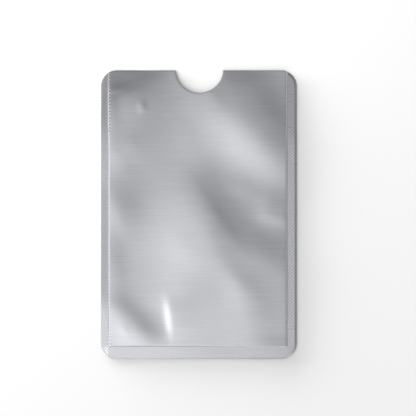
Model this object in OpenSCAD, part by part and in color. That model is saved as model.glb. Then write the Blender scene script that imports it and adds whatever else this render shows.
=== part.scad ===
// Card sleeve of aluminium laminate, lying on its back with its mouth towards +Y.
// Two walls of three layers each are heat-sealed along the left, right and bottom edges.
// Millimetres. The origin is under the middle of the sleeve, on the face it lies on.

/* [Die-cut outline] */
// Width of the sleeve, over both side seals
sleeve_w = 62; // [60:0.5:70]
// Height of the sleeve, from the bottom cut to the mouth
sleeve_h = 91.5; // [90:0.5:100]
// Radius of the four outer corners
corner_r = 5; // [3:0.5:7]

/* [Thumb notch] */
// Radius of the notch
notch_r = 7.5; // [5:0.5:10]
// Height of the notch's centre above the mouth edge
notch_rise = 0.4; // [0:0.1:2]
// Distance of the notch's centre to the right of the sleeve's middle
notch_shift = 0.15; // [-2:0.05:2]

/* [Heat seals] */
// Width of the left seal
left_seal_w = 2.2; // [1.5:0.1:4]
// Width of the right seal
right_seal_w = 3; // [1.5:0.1:4]
// Height of the bottom seal
bottom_seal_h = 3.9; // [2:0.1:5]

/* [Laminate] */
// Thickness of the brushed outer film
film_t = 0.04; // [0.03:0.01:0.1]
// Thickness of the aluminium foil
foil_t = 0.03; // [0.02:0.01:0.1]
// Thickness of the inner liner, which melts to form the seals
liner_t = 0.08; // [0.05:0.01:0.2]

/* [Pocket] */
// Clear height inside the raised edges, for a bank card 0.76 thick
card_gap = 0.85; // [0.85:0.05:1.5]
// Width of the strip in which the front wall rises from a seal
rise_run = 1; // [0.8:0.1:2]
// Height of the tallest ridge in the foil
ridge_h = 0.6; // [0:0.05:0.8]

/* [Hidden] */

// Arcs of the flat layers
arc_fn = 96;
// How far a cutting shape reaches past what it cuts
past = 1;

// Edges of the outline and of the pocket between the seals
half_w = sleeve_w / 2;
half_h = sleeve_h / 2;
pocket_left = left_seal_w - half_w;
pocket_right = half_w - right_seal_w;
pocket_bottom = bottom_seal_h - half_h;
pocket_w = pocket_right - pocket_left;
pocket_h = half_h - pocket_bottom;

// Half the notch's width where it meets the mouth edge
notch_half = sqrt(notch_r * notch_r - notch_rise * notch_rise);

// Undersides of the layers, from the back face up; the front ones are where no gap parts the walls
back_foil_z = film_t;
back_liner_z = back_foil_z + foil_t;
pocket_z = back_liner_z + liner_t;
front_foil_z = pocket_z + liner_t;
front_film_z = front_foil_z + foil_t;
seal_t = front_foil_z - back_liner_z;

// Soft ridges in the front wall. Each has its middle across and up the pocket, as shares of it,
// the direction of its crest in degrees, its half length, how far it falls away on its lower left
// and on its upper right, its share of the tallest ridge's height, and how bluntly its crest ends.
RIDGES = [
    [0.56, 0.39, -62, 24, 18, 17, 1.00, 2],
    [0.58, 0.48, -56, 15, 12,  7, 0.70, 3],
    [0.74, 0.14, -76, 12, 16,  9, 0.70, 3],
    [0.82, 0.75, -42, 16,  8,  9, 0.75, 4],
    [0.75, 0.79, -45, 18, 18, 14, 0.75, 3],
    [0.05, 0.71, -50, 16,  9, 17, 0.70, 2],
    [0.12, 0.09, -43, 10,  4,  4, 0.35, 4]
];

// Cells of the front sheets: over a seal, up a rise, across half the wall, round the notch, up the wall
seal_cells = 4;
rise_cells = 3;
wall_cells = 6;
notch_cells = 8;
bottom_cells = 2;
up_cells = 20;

// A quarter wave from 0 to 1, steep at its start
function rise(t) = sin(90 * min(max(t, 0), 1));

// One ridge's height at a point, as a share of the tallest ridge
function ridge(r, x, y) =
    let (
        dx = x - pocket_left - r[0] * pocket_w,
        dy = y - pocket_bottom - r[1] * pocket_h,
        along = dx * cos(r[2]) + dy * sin(r[2]),
        over = dy * cos(r[2]) - dx * sin(r[2]),
        fall = over < 0 ? r[4] : r[5]
    )
    r[6] * exp(-pow(abs(along / r[3]), r[7]) - pow(over / fall, 2));

function sum_of_ridges(x, y, n = 0) =
    n == len(RIDGES) ? 0 : ridge(RIDGES[n], x, y) + sum_of_ridges(x, y, n + 1);

// How far the front wall stands off the back wall
function lift(x, y) =
    let (
        inside = rise((x - pocket_left) / rise_run)
            * rise((pocket_right - x) / rise_run)
            * rise((y - pocket_bottom) / rise_run)
    )
    inside * (card_gap + ridge_h * sum_of_ridges(x, y));

// Height of the rounded outline above the sleeve's middle line at x
function corner_y(x) =
    let (in_corner = min(max(abs(x) - half_w + corner_r, 0), corner_r))
    half_h - corner_r + sqrt(corner_r * corner_r - in_corner * in_corner);

// The upper cut edge at x: outline or notch
function top_y(x) =
    let (off = abs(x - notch_shift))
    off < notch_half ? half_h + notch_rise - sqrt(notch_r * notch_r - off * off) : corner_y(x);

// Places from a to b in equal steps, without b
function steps(a, b, count) = [for (i = [0:count - 1]) a + (b - a) * i / count];

// Columns of the front sheets, closer together round the corners and the notch
left_seal_xs = [for (i = [0:seal_cells - 1]) -half_w + left_seal_w * (1 - cos(90 * i / seal_cells))];
left_rise_xs = steps(pocket_left, pocket_left + rise_run, rise_cells);
notch_xs = [for (i = [0:notch_cells - 1]) notch_shift - notch_half * cos(180 * i / notch_cells)];
wall_xs = concat(
    steps(pocket_left + rise_run, notch_shift - notch_half, wall_cells),
    notch_xs,
    steps(notch_shift + notch_half, pocket_right - rise_run, wall_cells)
);
right_rise_xs = steps(pocket_right - rise_run, pocket_right, rise_cells);
right_seal_xs = [for (i = [1:seal_cells]) pocket_right + right_seal_w * sin(90 * i / seal_cells)];
pocket_xs = concat(left_rise_xs, wall_xs, right_rise_xs, [pocket_right]);

// Rows of the front sheets
function below_ys(x) = steps(-corner_y(x), pocket_bottom, bottom_cells);
bottom_rise_ys = steps(pocket_bottom, pocket_bottom + rise_run, rise_cells);
function wall_ys(x) = concat(steps(pocket_bottom + rise_run, top_y(x), up_cells), [top_y(x)]);
function pocket_ys(x) = concat(below_ys(x), bottom_rise_ys, wall_ys(x));

// Over a side seal the rows keep their shares of the sleeve's height
middle_ys = pocket_ys(pocket_left + rise_run);
function seal_ys(x) =
    [for (y = middle_ys) corner_y(x) * (2 * (y - middle_ys[0]) / (half_h - middle_ys[0]) - 1)];

whole_grid = concat(
    [for (x = left_seal_xs) [for (y = seal_ys(x)) [x, y]]],
    [for (x = pocket_xs) [for (y = pocket_ys(x)) [x, y]]],
    [for (x = right_seal_xs) [for (y = seal_ys(x)) [x, y]]]
);

// The die-cut outline, with true arcs
module outline() {
    difference() {
        union() {
            square([sleeve_w - 2 * corner_r, sleeve_h], center = true);
            square([sleeve_w, sleeve_h - 2 * corner_r], center = true);
            for (x = [-1, 1], y = [-1, 1])
                translate([x * (half_w - corner_r), y * (half_h - corner_r)])
                    circle(r = corner_r, $fn = arc_fn);
        }
        translate([notch_shift, half_h + notch_rise])
            circle(r = notch_r, $fn = arc_fn);
    }
}

// The outline's part between two x and two y
module outline_part(x0, x1, y0, y1) {
    intersection() {
        outline();
        translate([x0, y0])
            square([x1 - x0, y1 - y0]);
    }
}

// A sheet of even thickness over a grid of columns, raised by the front wall's lift
module raised_sheet(grid, z, t) {
    last = len(grid) - 1;
    rows = len(grid[0]);
    count = len(grid) * rows;
    lower = [for (column = grid) for (p = column) [p[0], p[1], z + lift(p[0], p[1])]];
    upper = [for (p = lower) [p[0], p[1], p[2] + t]];
    cells = [for (i = [0:last - 1]) for (j = [0:rows - 2]) i * rows + j];
    rim = concat(
        [for (j = [0:rows - 2]) j],
        [for (i = [0:last - 1]) i * rows + rows - 1],
        [for (j = [rows - 1:-1:1]) last * rows + j],
        [for (i = [last:-1:1]) i * rows]
    );
    polyhedron(
        points = concat(lower, upper),
        faces = concat(
            [for (c = cells) [c, c + rows, c + rows + 1]],
            [for (c = cells) [c, c + rows + 1, c + 1]],
            [for (c = cells) [c + count, c + count + rows + 1, c + count + rows]],
            [for (c = cells) [c + count, c + count + 1, c + count + rows + 1]],
            [for (k = [0:len(rim) - 1])
                let (a = rim[k], b = rim[(k + 1) % len(rim)])
                [a, b, b + count, a + count]]
        ),
        convexity = 6
    );
}

// Back wall, flat on the table

module back_outer_film() {
    color("silver")
        linear_extrude(film_t)
            outline();
}

module back_foil() {
    color("lightgray")
        translate([0, 0, back_foil_z])
            linear_extrude(foil_t)
                outline();
}

module back_liner() {
    color("gainsboro")
        translate([0, 0, back_liner_z])
            linear_extrude(liner_t)
                outline_part(pocket_left, pocket_right, pocket_bottom, half_h + past);
}

// Heat seals, where both liners are melted into one. The side seals run the whole height.

module seal(x0, x1, y0, y1) {
    color("darkgray")
        translate([0, 0, back_liner_z])
            linear_extrude(seal_t)
                outline_part(x0, x1, y0, y1);
}

module left_seal() {
    seal(-half_w - past, pocket_left, -half_h - past, half_h + past);
}

module right_seal() {
    seal(pocket_right, half_w + past, -half_h - past, half_h + past);
}

module bottom_seal() {
    seal(pocket_left, pocket_right, -half_h - past, pocket_bottom);
}

// Front wall, raised to clear a card. The liner is parted along its creases into the panel over
// the card and the three rises that carry it up from the seals.

module front_liner_part(grid) {
    color("gainsboro")
        raised_sheet(grid, pocket_z, liner_t);
}

module front_liner() {
    front_liner_part([for (x = concat(wall_xs, [pocket_right - rise_run])) [for (y = wall_ys(x)) [x, y]]]);
}

module front_liner_left_rise() {
    front_liner_part([for (x = concat(left_rise_xs, [pocket_left + rise_run])) [for (y = wall_ys(x)) [x, y]]]);
}

module front_liner_right_rise() {
    front_liner_part([for (x = concat(right_rise_xs, [pocket_right])) [for (y = wall_ys(x)) [x, y]]]);
}

module front_liner_bottom_rise() {
    front_liner_part([
        for (x = pocket_xs)
            [for (y = concat(bottom_rise_ys, [pocket_bottom + rise_run])) [x, y]]
    ]);
}

module front_foil() {
    color("lightgray")
        raised_sheet(whole_grid, front_foil_z, foil_t);
}

module front_outer_film() {
    color("silver")
        raised_sheet(whole_grid, front_film_z, film_t);
}

back_outer_film();
back_foil();
back_liner();
left_seal();
right_seal();
bottom_seal();
front_liner();
front_liner_left_rise();
front_liner_right_rise();
front_liner_bottom_rise();
front_foil();
front_outer_film();
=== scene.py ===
# %% [markdown]
# # A foil card sleeve
#
# The object is a flat sleeve for a bank card. It is made from two walls of laminate: a brushed silver
# film outside, an aluminium foil in the middle and a plastic liner inside. The walls are melted
# together along three sides by hot knurled bars, and a die cuts the outline and the thumb notch.
#
# This lesson builds it the same way: a flat web is gridded, cut into its strips by a die, and then
# every strip is pressed to its height in millimetres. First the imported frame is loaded, so that each
# piece lies exactly where the construction model says.

# %% Load the frame
import math
import bpy
import numpy as np
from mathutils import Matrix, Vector


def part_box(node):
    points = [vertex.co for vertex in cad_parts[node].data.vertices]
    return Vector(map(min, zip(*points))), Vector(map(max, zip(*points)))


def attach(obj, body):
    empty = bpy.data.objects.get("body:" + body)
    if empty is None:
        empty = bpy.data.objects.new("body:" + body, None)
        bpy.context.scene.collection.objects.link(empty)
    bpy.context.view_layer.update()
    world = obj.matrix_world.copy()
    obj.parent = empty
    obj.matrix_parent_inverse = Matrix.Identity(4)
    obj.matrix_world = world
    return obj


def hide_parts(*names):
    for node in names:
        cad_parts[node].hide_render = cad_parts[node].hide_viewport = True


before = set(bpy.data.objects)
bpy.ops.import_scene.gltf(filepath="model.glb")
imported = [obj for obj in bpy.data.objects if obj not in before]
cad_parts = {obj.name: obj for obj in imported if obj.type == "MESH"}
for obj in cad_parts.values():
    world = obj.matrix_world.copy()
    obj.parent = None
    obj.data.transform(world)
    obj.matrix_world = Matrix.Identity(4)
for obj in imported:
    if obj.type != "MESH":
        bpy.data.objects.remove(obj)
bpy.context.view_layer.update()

# %% [markdown]
# ## Sizes from the frame
#
# A designer never types a size twice. The outline, the creases beside the seals and the thickness of
# each layer are read from the boxes of the frame's own nodes. Only the circles of the corners and of
# the notch are written again, because a box doesn't hold them. The formulas below work in
# millimetres, because the numbers of a card sleeve are easy to picture that way, and one factor turns
# them into Blender's metres.

# %% Sizes in millimetres
MM = 0.001           # metres in a millimetre

def box_mm(node):
    """Lowest and highest corner of a frame node, in millimetres."""
    return [np.round(np.array(corner) / MM, 4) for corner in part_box(node)]

HALF_W, HALF_H = box_mm("back_outer_film")[1][:2]
CREASE_L = box_mm("left_seal")[1][0]
CREASE_R = box_mm("right_seal")[0][0]
CREASE_B = box_mm("bottom_seal")[1][1]
FILM, FOIL, LINER = [np.ptp(box_mm(node), axis=0)[2]
                     for node in ("back_outer_film", "back_foil", "back_liner")]
SEAL = 2 * LINER     # a seal is both liners melted into one
CORNER_R = 5
NOTCH_R = 7.5
NOTCH_X, NOTCH_Y = 0.15, HALF_H + 0.4    # middle of the notch, a little above the mouth's edge
print("outline", 2 * HALF_W, "x", 2 * HALF_H, "creases at", CREASE_L, CREASE_R, CREASE_B)
print("layers", FILM, FOIL, LINER, "seal", SEAL, "notch radius", NOTCH_R)

# %% [markdown]
# ## The web
#
# Laminate comes off a roll as a flat web. A grid stands for it, and its cells are chosen for the
# finest thing that is pressed into it: the knurl of the hot bars repeats every 1.05 mm, so cells of
# half that put a vertex on each peak and each hollow. On the seals, beside the creases and along the
# cut edges the cells are halved, and in the narrow run where the front wall rises from a seal they
# are halved again. The grid is bisected at the creases, so that every strip can be parted there with
# a straight edge.

# %% Grid the web
KNURL = 1.05         # the knurl repeats after this width
CELL = KNURL / 2
SPARE = 0.2          # the web is at least this much wider than the outline on every side
RUN = 0.5            # width in which the front wall rises from a seal
BESIDE_CREASE, BESIDE_EDGE, BESIDE_RUN = 1.2, 0.9, 0.1    # how far the finer cells reach past each

def deselect_all():
    if bpy.context.object and bpy.context.object.mode != "OBJECT":
        bpy.ops.object.mode_set(mode="OBJECT")
    bpy.ops.object.select_all(action="DESELECT")

def make_active(piece):
    deselect_all()
    piece.select_set(True)
    bpy.context.view_layer.objects.active = piece

def select_faces(piece, wanted):
    """Selects, in edit mode, the faces whose centres in millimetres pass the test, and counts them."""
    make_active(piece)
    mesh = piece.data
    for layer in (mesh.vertices, mesh.edges, mesh.polygons):
        layer.foreach_set("select", np.zeros(len(layer), bool))
    centre = np.empty(3 * len(mesh.polygons))
    mesh.polygons.foreach_get("center", centre)
    x, y, _ = centre.reshape(-1, 3).T / MM
    chosen = wanted(x, y)
    mesh.polygons.foreach_set("select", chosen)
    bpy.ops.object.mode_set(mode="EDIT")
    bpy.ops.mesh.select_mode(type="FACE")
    return int(chosen.sum())

def inset(x, y):
    """Distance inward from the cut edge, below zero outside it."""
    ax, ay = np.abs(x) - HALF_W + CORNER_R, np.abs(y) - HALF_H + CORNER_R
    outside = np.hypot(np.maximum(ax, 0), np.maximum(ay, 0)) + np.minimum(np.maximum(ax, ay), 0)
    return np.minimum(CORNER_R - outside, np.hypot(x - NOTCH_X, y - NOTCH_Y) - NOTCH_R)

def past_crease(x, y):
    """Distance inward from the nearest crease, below zero on a seal."""
    return np.minimum(np.minimum(x - CREASE_L, CREASE_R - x), y - CREASE_B)

deselect_all()
columns, rows = [2 * math.ceil((half + SPARE) / CELL) for half in (HALF_W, HALF_H)]
bpy.ops.mesh.primitive_grid_add(x_subdivisions=columns, y_subdivisions=rows, size=1)
web = bpy.context.object
web.name = "web"
bpy.ops.object.mode_set(mode="EDIT")
bpy.ops.transform.resize(value=(columns * CELL * MM, rows * CELL * MM, 1), center_override=(0, 0, 0))
for place, normal in (((CREASE_L, 0), (1, 0)), ((CREASE_R, 0), (1, 0)), ((0, CREASE_B), (0, 1))):
    bpy.ops.mesh.select_all(action="SELECT")
    bpy.ops.mesh.bisect(plane_co=(place[0] * MM, place[1] * MM, 0), plane_no=(*normal, 0),
                        threshold=1e-7)
bpy.ops.object.mode_set(mode="OBJECT")
FINER = [
    lambda x, y: (past_crease(x, y) < BESIDE_CREASE) | (np.abs(inset(x, y)) < BESIDE_EDGE),
    lambda x, y: np.abs(past_crease(x, y) - RUN / 2) < RUN / 2 + BESIDE_RUN,
]
for narrow in FINER:
    print("cells to halve:", select_faces(web, narrow))
    bpy.ops.mesh.subdivide(number_cuts=1)
    bpy.ops.object.mode_set(mode="OBJECT")
print("web faces:", len(web.data.polygons))

# %% [markdown]
# ## The die
#
# A steel rule die cuts the outline in one stroke: a rectangle with round corners and a round notch
# for the thumb. The die is a box whose four upright edges are bevelled, and a cylinder. First the web
# is parted into strips by deleting the faces of the others. Then each strip is extruded to a slab,
# kept inside the box by an Intersect and, where the notch reaches it, opened by a Difference. A slab
# is used because Boolean modifiers want closed shapes.

# %% Make the die and cut the strips
DIE = 3              # height of the die in millimetres, more than the slab's

PARTS = {
    "whole": lambda x, y: np.isfinite(x),
    "pocket": lambda x, y: past_crease(x, y) > 0,
    "left": lambda x, y: x < CREASE_L,
    "right": lambda x, y: x > CREASE_R,
    "bottom": lambda x, y: (x > CREASE_L) & (x < CREASE_R) & (y < CREASE_B),
}

deselect_all()
bpy.ops.mesh.primitive_cube_add(size=1, scale=(2 * HALF_W * MM, 2 * HALF_H * MM, DIE * MM))
outline_die = bpy.context.object
bpy.ops.object.transform_apply(location=False, rotation=False, scale=True)
bpy.ops.object.mode_set(mode="EDIT")
bpy.ops.mesh.select_mode(type="EDGE")
bpy.ops.mesh.select_all(action="DESELECT")
bpy.ops.object.mode_set(mode="OBJECT")
for edge in outline_die.data.edges:
    a, b = [outline_die.data.vertices[i].co for i in edge.vertices]
    edge.select = abs(a.z - b.z) > MM
bpy.ops.object.mode_set(mode="EDIT")
bpy.ops.mesh.bevel(offset=CORNER_R * MM, offset_type="OFFSET", segments=24, affect="EDGES")
bpy.ops.object.mode_set(mode="OBJECT")

deselect_all()
bpy.ops.mesh.primitive_cylinder_add(vertices=128, radius=NOTCH_R * MM, depth=DIE * MM,
                                    location=(NOTCH_X * MM, NOTCH_Y * MM, 0))
notch_die = bpy.context.object
bpy.ops.object.transform_apply(location=True, rotation=False, scale=False)

def copy_of(source, name):
    piece = source.copy()
    piece.data = source.data.copy()
    piece.name = piece.data.name = name
    bpy.context.scene.collection.objects.link(piece)
    return piece

def boolean(piece, operation, die):
    make_active(piece)
    cut = piece.modifiers.new(operation, "BOOLEAN")
    cut.operation, cut.object, cut.solver = operation, die, "EXACT"
    bpy.ops.object.modifier_apply(modifier=cut.name)

strips = {}
for part, keep in PARTS.items():
    strip = copy_of(web, part)
    select_faces(strip, lambda x, y: ~keep(x, y))
    bpy.ops.mesh.delete(type="FACE")
    bpy.ops.mesh.select_all(action="SELECT")
    bpy.ops.mesh.extrude_region_move(TRANSFORM_OT_translate={"value": (0, 0, MM)})
    bpy.ops.mesh.select_all(action="SELECT")
    bpy.ops.mesh.normals_make_consistent(inside=False)
    bpy.ops.object.mode_set(mode="OBJECT")
    boolean(strip, "INTERSECT", outline_die)
    if part in ("whole", "pocket"):
        boolean(strip, "DIFFERENCE", notch_die)
    strips[part] = strip
    print(part, "strip:", len(strip.data.vertices), "vertices")
for used in (web, outline_die, notch_die):
    bpy.data.objects.remove(used)

# %% [markdown]
# ## How the walls lie
#
# An empty sleeve never lies flat. Handling and the heat of the seals leave long soft ridges in the
# front wall, and the mirror finish makes each of them visible as a bright flank and a dark one. A
# cloth simulation would give other folds than the ones on the table, so each ridge is written out:
# the place of its middle, the direction of its crest, its half length, how far it falls away on its
# lower left and on its upper right, and its height. A hollow is a ridge with a height below zero.
# The seven tall ridges are in the construction model too, and the smaller forms are only here.
# Beside the seals the wall rises in a quarter round, which shows as a thin bright or dark line.

# %% Write the relief of the front wall
GAP = 0.85           # how far the walls stand apart where no ridge lifts them
RIDGE_H = 0.6        # height of the tallest ridge

# middle across and up the pocket as shares of it, crest direction in degrees, half length,
# fall to the lower left, fall to the upper right, share of RIDGE_H, bluntness of the ends
RIDGES = [
    (0.56, 0.39, -62, 24, 18, 17, 1.00, 2),
    (0.58, 0.48, -56, 15, 12, 7, 0.70, 3),
    (0.74, 0.14, -76, 12, 16, 9, 0.70, 3),
    (0.82, 0.75, -42, 16, 8, 9, 0.75, 4),
    (0.75, 0.79, -45, 18, 18, 14, 0.75, 3),
    (0.05, 0.71, -50, 16, 9, 17, 0.70, 2),
    (0.12, 0.09, -43, 10, 4, 4, 0.35, 4),
]
# smaller ridges and hollows, in the same order but with their middles and heights in millimetres
SMALL = [
    (-8.7, -32.8, -82, 5.5, 1.7, 8, 0.20, 2.5),     # the bright crease at the lower left: a ridge
    (-11, -32.8, -82, 5.5, 8, 1.7, -0.17, 2.5),     # and a hollow on its left
    (-3.5, -28, -85, 10, 10, 16, 0.28, 2),          # the bright slope beside it
    (-23.6, -36.6, -48, 2.2, 1.2, 1.6, 0.04, 2),    # a light spot in the corner
    (-22, -31, -46, 8, 8, 4.5, 0.06, 2),            # the dark band over the corner
    (-28, -43, -45, 12, 6, 5.5, -0.44, 2),          # the corner at the lower left, pressed down
    (-18, -46, 0, 14, 6, 6, -0.20, 2),
    (-3, -43, -25, 10, 6, 10, 0.08, 2),             # the wall's slope over the bottom seal
    (22, -43, 0, 10, 6, 4, 0.22, 2),
    (-17, 46, 4, 13, 7, 6, -0.35, 2),               # the mouth's lip at the left
    (-17, 47, 4, 11, 3, 3, -0.30, 2),
    (-15.5, 47.5, 4, 7, 3, 3, -0.22, 2),
    (-21, 42.8, 22, 8, 2.2, 2, -0.18, 2),           # a hollow line across the lip
    (-27, 39.7, 23, 3.5, 1.2, 2.5, 0.18, 2),        # a short sharp crease in the corner
    (16, 46, 0, 10, 5, 6, -0.25, 2),                # the mouth's lip at the right
    (17, 47, 0, 12, 3, 3, -0.20, 2),
    (-23, 36.5, 16, 10, 8, 4, 0.22, 2),             # a soft line under the mouth at the left
    (-29, 34, -85, 9, 3, 3, 0.19, 2),
    (-18, 34.4, 0, 1.3, 1.9, 1.7, 0.07, 2),         # a dimple under it
    (-20.5, 23, -55, 5, 4.5, 12, 0.09, 2),
    (3, 38, -50, 6, 8, 3, 0.08, 2),                 # soft lines below the notch and right of it
    (-1, 22, -70, 7, 6, 10, 0.08, 2),
    (19.5, 31.5, -50, 8, 14, 4.5, 0.07, 2),
    (20, 34, -50, 11, 12, 7, 0.24, 2),              # the dark slope at the upper right
    (-30, -1, -88, 15, 3, 8, 0.44, 2),              # four swellings along the left seal
    (-25, 2, -67, 9, 5, 7, 0.31, 2),
    (-28.5, -16, -86, 10, 2, 4.5, 0.22, 2),
    (-25, 20, -60, 4, 4, 7, 0.08, 2),
    (24, 0, -12, 5, 3, 7, 0.15, 3),                 # three soft creases that run out of the right seal
    (15, 6, -25, 10, 14, 6, 0.25, 2),
    (20, -13, -30, 9, 6, 6, 0.20, 2),
    (8, 2, -54, 13, 3.5, 30, -0.10, 2),             # the dark hollow, a little deeper
    (2, -7, -56, 12, 12, 8, 0.24, 2),               # and its lower side
    (5, -14, -50, 7, 10, 6, 0.15, 2),
    (-18, -2, -60, 14, 20, 12, 0.14, 2),            # soft waves below it
    (-4, -11.5, -50, 8, 6, 5, 0.10, 2),
    (-5.5, -20, -50, 8, 5.5, 8, 0.08, 2),
    (12, -19.5, -50, 8, 5.5, 20, 0.18, 2),
    (17, -22, -55, 10, 9, 30, 0.26, 2),             # the lower lobe
    (26, -22, -88, 15, 12, 3, 0.08, 2),             # the wall's slope along the right seal
]

def step(x, start, end):
    """0 before start and 1 after end, with a smooth way between."""
    t = np.clip((x - start) / (end - start), 0, 1)
    return t * t * (3 - 2 * t)

def ridge(x, y, middle_x, middle_y, direction, half_length, fall_left, fall_right, height, ends):
    a = math.radians(direction)
    dx, dy = x - middle_x, y - middle_y
    along = dx * math.cos(a) + dy * math.sin(a)
    over = dy * math.cos(a) - dx * math.sin(a)
    fall = np.where(over < 0, fall_left, fall_right)
    return height * np.exp(-np.abs(along / half_length) ** ends - (over / fall) ** 2)

def relief(x, y):
    """Height of the ridges and hollows over the level wall."""
    total = sum(ridge(x, y, *row) for row in SMALL)
    for across, up, direction, half, left, right, share, ends in RIDGES:
        middle = CREASE_L + across * (CREASE_R - CREASE_L), CREASE_B + up * (HALF_H - CREASE_B)
        total += ridge(x, y, *middle, direction, half, left, right, share * RIDGE_H, ends)
    return total

SHARPER = 0.35       # how much narrower the run is where a crease is sharp
LOWEST = 0.03        # the walls never touch where they are pressed together

def rise(x, y):
    """0 on the seals and 1 on the raised wall, with a quarter round between."""
    def round_up(way, run):
        return np.sqrt(1 - (1 - np.clip(way / run, 0, 1)) ** 2)
    left_run = RUN - SHARPER * step(y, 23, 28)       # sharper near the mouth
    bottom_run = RUN - SHARPER * step(x, 0, 15)      # sharper in its right half
    left, right = round_up(x - CREASE_L, left_run), round_up(CREASE_R - x, RUN)
    return left * right * round_up(y - CREASE_B, bottom_run)

def lift(x, y):
    """How far the front wall stands off the back wall."""
    return rise(x, y) * np.maximum(GAP + relief(x, y), LOWEST)

print(len(RIDGES), "ridges and", len(SMALL), "smaller forms")

# %% [markdown]
# ## The knurled seals
#
# The sealing bars carry small pyramids, and they emboss both liners, both foils and both films
# together. The product of two cosines gives that pattern. It is real height in the mesh and not a
# bump map, so it is also in the shape that is exported. It swings about a level that is as high as
# the swing is deep, so the back face never goes below the table.
#
# The seams never lie quite level either, because the heat makes them curl. How much they curl is
# written as ramps from a crease to the cut edge, which give each seam the grey that the studio puts
# on a face of that slope. At the cut edges the die rolls the front wall over a little.

# %% Write the relief of the seals and the cut edge
KNURL_H = 0.05       # half the height of the knurl
PAST_LEFT = 0.8      # how far it reaches past the left crease
EDGE = 0.35          # width in which the die rolls an edge down
BACK_SHARE = 0.12    # how much of a ridge the back wall follows

def knurl(x, y):
    """The pyramids of the bars, which reach a little past the left crease except in its middle."""
    left_end = CREASE_L + PAST_LEFT * step(np.abs(y - 16.5), 8.5, 9)
    between_sides = step(x, left_end - 0.1, left_end + 0.2) * step(-x, -CREASE_R - 0.1, 0.2 - CREASE_R)
    pressed = 1 - between_sides * step(y, CREASE_B - 0.3, CREASE_B + 0.1)
    wave = np.cos(2 * np.pi * x / KNURL) * np.cos(2 * np.pi * y / KNURL)
    return KNURL_H * (1 + pressed * step(inset(x, y), 0.1, 0.5) * wave)

def curl(x, y):
    """How far the seams stand off the table."""
    over_bottom = np.clip((y + HALF_H) / (CREASE_B + HALF_H), 0, 1)
    over_left = np.clip((CREASE_L - x) / (CREASE_L + HALF_W), 0, 1)
    over_right = np.clip((x - CREASE_R) / (HALF_W - CREASE_R), 0, 1)
    # the bottom seam lifts its crease, most at its left end, and that fades out in the wall above
    bottom_lift = 0.37 - 0.39 * step(x, -27, 30)
    bottom = bottom_lift * over_bottom * (1 - step(y, CREASE_B, 5))
    # the left seam lifts its cut edge, most near the mouth, and lowers it at its lower end
    left = 0.06 + 0.13 * step(y, 20, 34) - 0.05 * step(12 - np.abs(y - 14), 0, 10)
    left = left - 0.18 * step(-y, 24, 34)
    # the right side of the sleeve stands off the table, and its seam falls back to the cut edge
    right = 0.26 * step(x, 6, CREASE_R)
    drop = 0.05 + 0.13 * step(y, 20, 30)
    # the left bar runs on over the bottom seam and leaves a low step beside it
    fall = np.where(x < CREASE_L, 0.4, 5)
    overrun = 0.04 * np.exp(-((x - CREASE_L) / fall) ** 2) * step(-y, 41, 42.5)
    return overrun + bottom + left * over_left + right - drop * over_right

def back_shift(x, y):
    """How far the back wall's layers lie above their flat places."""
    return knurl(x, y) + curl(x, y) + BACK_SHARE * rise(x, y) * np.maximum(relief(x, y), 0)

def front_shift(x, y):
    """The same for the front wall's layers, with their edges rolled over."""
    right = step(x, CREASE_R - 1, CREASE_R)
    # in heights of a seal: down at the right, a little down at the mouth, a little up at the bottom
    turn = 0.75 * right + 0.2 * step(y, 30, 40) - 0.15 * step(-y, 40, 44)
    roll = turn * SEAL * (1 - step(inset(x, y), 0, EDGE * (1 + 0.7 * right)))
    return knurl(x, y) + curl(x, y) + lift(x, y) - roll

print("knurl", 2 * KNURL_H, "mm high every", KNURL, "mm; edges rolled over", EDGE, "mm")

# %% [markdown]
# ## Pressing the strips
#
# Each layer is a copy of its strip. Its lower and upper vertices get their heights from the same
# formulas, so neighbouring layers meet face to face and never cut through each other. Every copy has
# its own mesh, sits at the origin and rides on the sleeve's body. The front liner is one sheet here,
# as on the real sleeve, though the construction model parts it along its creases.

# %% Press each layer to its height
def press(part, name, low, high, low_shift, high_shift, nodes):
    """A layer between two heights of the flat stack, raised by the shifts of its two faces."""
    piece = copy_of(strips[part], name)
    mesh = piece.data
    co = np.empty(3 * len(mesh.vertices))
    mesh.vertices.foreach_get("co", co)
    co = co.reshape(-1, 3)
    x, y = co[:, 0] / MM, co[:, 1] / MM
    upper = co[:, 2] > MM / 2
    co[:, 2] = MM * np.where(upper, high + high_shift(x, y), low + low_shift(x, y))
    mesh.vertices.foreach_set("co", co.ravel())
    mesh.update()
    make_active(piece)
    bpy.ops.object.mode_set(mode="EDIT")
    bpy.ops.mesh.select_all(action="SELECT")
    bpy.ops.mesh.normals_make_consistent(inside=False)
    bpy.ops.object.mode_set(mode="OBJECT")
    bpy.ops.object.shade_smooth_by_angle(angle=math.radians(40))
    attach(piece, "root")
    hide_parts(*nodes)
    mesh.calc_loop_triangles()
    lowest, highest = co[:, 2].min() / MM, co[:, 2].max() / MM
    print(name, len(mesh.loop_triangles), "triangles, z", round(lowest, 3), "to", round(highest, 3))
    return piece

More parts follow.
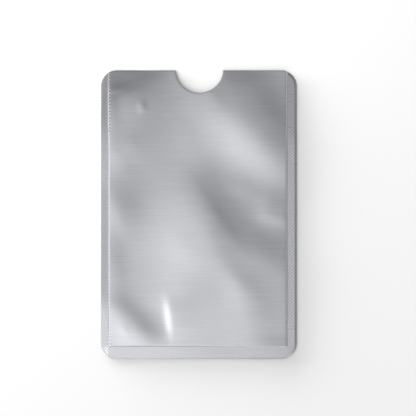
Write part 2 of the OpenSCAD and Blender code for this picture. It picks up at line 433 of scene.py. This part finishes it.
foil_z, liner_z = FILM, FILM + FOIL
floor_z = liner_z + LINER
front_foil_z = floor_z + LINER
front_film_z = front_foil_z + FOIL
back, front = back_shift, front_shift
pieces = {
    "film": [
        press("whole", "back_film", 0, FILM, back, back, ["back_outer_film"]),
        press("whole", "front_film", front_film_z, front_film_z + FILM, front, front,
              ["front_outer_film"]),
    ],
    "foil": [
        press("whole", "back_foil_sheet", foil_z, liner_z, back, back, ["back_foil"]),
        press("whole", "front_foil_sheet", front_foil_z, front_film_z, front, front,
              ["front_foil"]),
    ],
    "liner": [
        press("pocket", "back_liner_sheet", liner_z, floor_z, back, back,
              ["back_liner"]),
        press("pocket", "front_liner_sheet", floor_z, front_foil_z, front, front,
              ["front_liner", "front_liner_left_rise", "front_liner_right_rise",
               "front_liner_bottom_rise"]),
    ],
    "seal": [
        press(side, side + "_seal_strip", liner_z, front_foil_z, back, front,
              [side + "_seal"])
        for side in ("left", "right", "bottom")
    ],
}
for strip in strips.values():
    bpy.data.objects.remove(strip)

# %% [markdown]
# ## Writing shader maths
#
# A material is a graph of nodes, and long chains of Math nodes are hard to read. The class below wraps
# a socket so that an ordinary expression adds the Math nodes, and one method adds any other node.

# %% A small class for node expressions
class Value:
    """A number that varies over a surface."""
    def __init__(self, graph, socket):
        self.graph, self.socket = graph, socket

    def __add__(self, other): return self.graph.math("ADD", self, other)
    def __radd__(self, other): return self.graph.math("ADD", other, self)
    def __sub__(self, other): return self.graph.math("SUBTRACT", self, other)
    def __rsub__(self, other): return self.graph.math("SUBTRACT", other, self)
    def __mul__(self, other): return self.graph.math("MULTIPLY", self, other)
    def __rmul__(self, other): return self.graph.math("MULTIPLY", other, self)
    def __truediv__(self, other): return self.graph.math("DIVIDE", self, other)
    def __rtruediv__(self, other): return self.graph.math("DIVIDE", other, self)

class Graph:
    """The nodes of one material or world."""
    def __init__(self, owner):
        owner.use_nodes = True
        self.tree = owner.node_tree
        self.tree.nodes.clear()

    def node(self, kind, settings=None, inputs=None, out=0):
        """Adds a node, sets its settings, then links or fills its inputs, and gives one output."""
        node = self.tree.nodes.new(kind)
        for key, value in (settings or {}).items():
            setattr(node, key, value)
        for key, value in (inputs or {}).items():
            socket = node.inputs[key]
            if isinstance(value, Value):
                self.tree.links.new(value.socket, socket)
            else:
                socket.default_value = value
        return Value(self, node.outputs[out]) if node.outputs else node

    def math(self, operation, a, b=0.0):
        return self.node("ShaderNodeMath", {"operation": operation}, {0: a, 1: b})

    def between(self, x, low, high):
        """0 below low and 1 above high, with a smooth way between."""
        return self.node("ShaderNodeMapRange", {"interpolation_type": "SMOOTHSTEP"},
                         {"Value": x, "From Min": low, "From Max": high})

    def tint(self, mix, dark, light):
        """A colour between two, as mix goes from 0 to 1."""
        return self.node("ShaderNodeMix", {"data_type": "RGBA", "clamp_factor": False},
                         {0: mix, 6: (*dark, 1), 7: (*light, 1)}, out=2)

# %% [markdown]
# ## Brushed silver film
#
# The outer film is metallised, so it is a metal to the light: a base colour that is a little cool, and
# a roughness that turns reflected lamps into soft patches. Its fine lines run across the sleeve. They
# come from noise that is stretched about thirty times further across than up, read on Object
# coordinates in metres, and they move the colour and the roughness together. A bump would be the
# usual third, but in lines this fine it showed as dark specks at the size of the picture.
#
# The knurl also carries painted light: its peaks are painted brighter as a highlight and its hollows
# darker as shade, most of all on the side seams. The same two cosines as in the mesh put that painted
# highlight exactly on the peaks.

# %% Material of the film
def fine_lines(graph, place, length, width):
    """Noise stretched into lines across the sleeve, from 0 to 1. Sizes in millimetres."""
    along, across = 1 / (length * MM), 1 / (width * MM)
    stretched = graph.node("ShaderNodeMapping", None, {"Vector": place, "Scale": (along, across, along)})
    return graph.node("ShaderNodeTexNoise", {"noise_dimensions": "3D"},
                      {"Vector": stretched, "Scale": 1.0, "Detail": 3.0, "Roughness": 0.6})

def finish(graph, shader):
    graph.node("ShaderNodeOutputMaterial", None, {"Surface": shader})

def brushed_film():
    material = bpy.data.materials.new("brushed_silver_film")
    g = Graph(material)
    place = g.node("ShaderNodeTexCoord", out=3)
    lines = fine_lines(g, place, 14, 0.45)
    hairs = fine_lines(g, place, 5, 0.2)
    clouds = g.node("ShaderNodeTexNoise", None, {"Vector": place, "Scale": 90.0, "Detail": 2.0})
    brushed = 0.6 * lines + 0.4 * hairs
    x, y = [g.node("ShaderNodeSeparateXYZ", None, {"Vector": place}, out=i) / MM for i in range(2)]
    past_left = g.between(x, CREASE_L + 0.2, CREASE_L + 0.5)
    past_right = g.between(0 - x, -CREASE_R, 0.3 - CREASE_R)
    between_sides = past_left * past_right
    on_seal = 1 - between_sides * g.between(y, CREASE_B - 0.3, CREASE_B)
    wave = g.math("COSINE", x * (2 * math.pi / KNURL)) * g.math("COSINE", y * (2 * math.pi / KNURL))
    # painted highlight on the knurl's peaks and painted shade in its hollows, stronger on the side seams
    # than on the bottom seam
    side_painted_light, bottom_painted_light = 1.5, 0.8
    knurl_painted_light = (side_painted_light - (side_painted_light - bottom_painted_light) * between_sides) * on_seal * wave
    shade = g.between(brushed, 0.2, 0.8) + knurl_painted_light
    colour = g.tint(shade, (0.6, 0.607, 0.637), (0.68, 0.688, 0.722))
    rough = 0.22 + 0.1 * brushed + 0.04 * clouds
    finish(g, g.node("ShaderNodeBsdfPrincipled", None, {
        "Base Color": colour, "Metallic": 1.0, "Roughness": rough}))
    return material

MATERIALS = {"film": brushed_film()}
print("nodes in the film's material:", len(MATERIALS["film"].node_tree.nodes))

# %% [markdown]
# ## Foil, liner and seal
#
# These show at the cut edges and through the mouth. The foil is a bright soft metal with the faint
# streaks of its rollers. The liner is a clear satin plastic with the foil right behind it, so it is
# mostly metal under a coat. The seal is the same plastic melted into one strip, a little milkier
# where the bars pressed it.

# %% Materials of the inner layers
def rolled_foil():
    material = bpy.data.materials.new("rolled_foil")
    g = Graph(material)
    place = g.node("ShaderNodeTexCoord", out=3)
    streaks = fine_lines(g, place, 40, 0.8)
    finish(g, g.node("ShaderNodeBsdfPrincipled", None, {
        "Base Color": g.tint(streaks, (0.72, 0.72, 0.73), (0.84, 0.84, 0.85)), "Metallic": 1.0,
        "Roughness": 0.28 + 0.15 * streaks}))
    return material

def satin_liner(name, dark, light, metal):
    material = bpy.data.materials.new(name)
    g = Graph(material)
    place = g.node("ShaderNodeTexCoord", out=3)
    haze = g.node("ShaderNodeTexNoise", None, {"Vector": place, "Scale": 400.0, "Detail": 4.0})
    streaks = fine_lines(g, place, 30, 1.2)
    mix = 0.5 * haze + 0.5 * streaks
    bump = g.node("ShaderNodeBump", None, {"Strength": 0.3, "Distance": 0.02 * MM, "Height": haze})
    finish(g, g.node("ShaderNodeBsdfPrincipled", None, {
        "Base Color": g.tint(mix, dark, light), "Metallic": metal, "Roughness": 0.3 + 0.2 * mix,
        "Coat Weight": 0.4, "Coat Roughness": 0.25, "Normal": bump}))
    return material

MATERIALS["foil"] = rolled_foil()
MATERIALS["liner"] = satin_liner("satin_liner", (0.56, 0.565, 0.58), (0.68, 0.685, 0.70), 0.85)
MATERIALS["seal"] = satin_liner("melted_seal", (0.60, 0.605, 0.62), (0.70, 0.705, 0.72), 0.6)
for kind, made in pieces.items():
    for piece in made:
        piece.data.materials.clear()
        piece.data.materials.append(MATERIALS[kind])
        print(piece.name, "has", MATERIALS[kind].name)

# %% [markdown]
# ## Floor and light
#
# A mirror shows its room, so the studio matters as much as the metal. The sleeve lies on a white table
# under a large soft light on the lower left, and the room is dim on the upper right. That is a sky
# whose brightness depends on the direction only: around the zenith it falls along the diagonal, near
# the horizon it is pale, and a soft box on the left lights the steep flanks. A long low lamp at the
# upper left draws the soft shadow at the lower right. The white background is the colour of the
# table, which glows faintly for the camera and in mirrors, and it keeps the shadow of the object.

# %% Build the studio
SLOPE = 0.13         # how fast the sky goes from bright to dim around the zenith
STOP, BEND = 1.7, 9.5    # how many SLOPEs away that ends, and how softly
LEVEL, SWING = 0.69, 0.42    # its strength straight above, and about the change over one SLOPE
KEY = Vector((-0.52, -0.2, 0.83)).normalized()    # where the soft box hangs
GLOW = 0.035         # strength of the table's own light
HAIR = 0.03          # how far the table lies under the sleeve, so that no two faces share a plane

def studio_sky():
    world = bpy.data.worlds.new("studio")
    bpy.context.scene.world = world
    g = Graph(world)
    direction = g.node("ShaderNodeTexCoord", out=0)
    x, y, z = [g.node("ShaderNodeSeparateXYZ", None, {"Vector": direction}, out=i) for i in range(3)]
    t = g.node("ShaderNodeClamp", None, {
        "Value": (x + y) * (0.7071 / SLOPE), "Min": -STOP, "Max": STOP})    # lean along the diagonal
    near = LEVEL - SWING * (t - t * t * t / BEND)
    flat = g.math("SQRT", x * x + y * y + 0.000001)     # never zero, because it divides
    far = 0.80 - 0.2 * x / flat - 0.05 * y / flat
    high = g.between(z, 0.5, 0.9)
    soft_box = g.between(x * KEY.x + y * KEY.y + z * KEY.z, 0.915, 0.98)
    light = near * high + far * (1 - high) + 0.7 * soft_box
    room = g.node("ShaderNodeBackground", None, {"Color": (1, 1, 1, 1), "Strength": light})
    g.node("ShaderNodeOutputWorld", None, {"Surface": room})

def table_top():
    deselect_all()
    bpy.ops.mesh.primitive_plane_add(size=6, location=(0, 0, -HAIR * MM))
    table = bpy.context.object
    table.name = "table_top"
    material = bpy.data.materials.new("white_table")
    g = Graph(material)
    camera_ray, glossy_ray, clear_ray = [g.node("ShaderNodeLightPath", out="Is %s Ray" % kind)
                                         for kind in ("Camera", "Glossy", "Transmission")]
    place = g.node("ShaderNodeTexCoord", out=3)
    grain = g.node("ShaderNodeTexNoise", None, {"Vector": place, "Scale": 900.0, "Detail": 2.0})
    colour = g.tint(grain, (0.82, 0.82, 0.82), (0.84, 0.84, 0.84))
    matt = g.node("ShaderNodeBsdfDiffuse", None, {"Color": colour})
    glow = g.node("ShaderNodeEmission", None, {
        "Color": (1, 1, 1, 1), "Strength": GLOW * (camera_ray + glossy_ray + clear_ray)})
    finish(g, g.node("ShaderNodeAddShader", None, {0: matt, 1: glow}))
    table.data.materials.append(material)

def side_lamp():
    data = bpy.data.lights.new("side_lamp", "AREA")
    data.shape, data.size, data.size_y, data.energy = "RECTANGLE", 0.7, 0.09, 10
    lamp = bpy.data.objects.new("side_lamp", data)
    bpy.context.scene.collection.objects.link(lamp)
    lamp.location = (-0.32, 0.32, 0.046)
    lamp.rotation_euler = Vector((1, -1, 0)).to_track_quat("-Z", "Y").to_euler()
    lamp.visible_glossy = False

studio_sky()
table_top()
side_lamp()
scene = bpy.context.scene
scene.view_settings.view_transform = "Standard"
change = SWING * (STOP - STOP ** 3 / BEND)
print("sky around the zenith from", round(LEVEL + change, 2), "to", round(LEVEL - change, 2))

# %% [markdown]
# ## Camera
#
# The photograph looks straight down with a long lens, so no side of the sleeve leans away. Its 416
# pixels cover 131.85 mm, and the sleeve's middle lies a little left of and below the middle of the
# picture.

# %% Place the camera
PICTURE = 131.85     # width of the picture on the table, in millimetres
PIXELS = 416         # and in pixels
PIXEL = PICTURE / PIXELS
MIDDLE = 198.9, 214.7    # the pixel that the sleeve's middle is on
FACE = 0.5           # height at which the picture has exactly that width
camera = bpy.data.objects.new("camera", bpy.data.cameras.new("camera"))
scene.collection.objects.link(camera)
camera.data.lens, camera.data.sensor_width = 300, 36
distance = PICTURE * camera.data.lens / camera.data.sensor_width
camera.location = ((PIXELS / 2 - MIDDLE[0]) * PIXEL * MM, (MIDDLE[1] - PIXELS / 2) * PIXEL * MM,
                   (distance + FACE) * MM)
camera.data.clip_end = 20
scene.camera = camera
print("camera", round(distance), "mm above the sleeve")
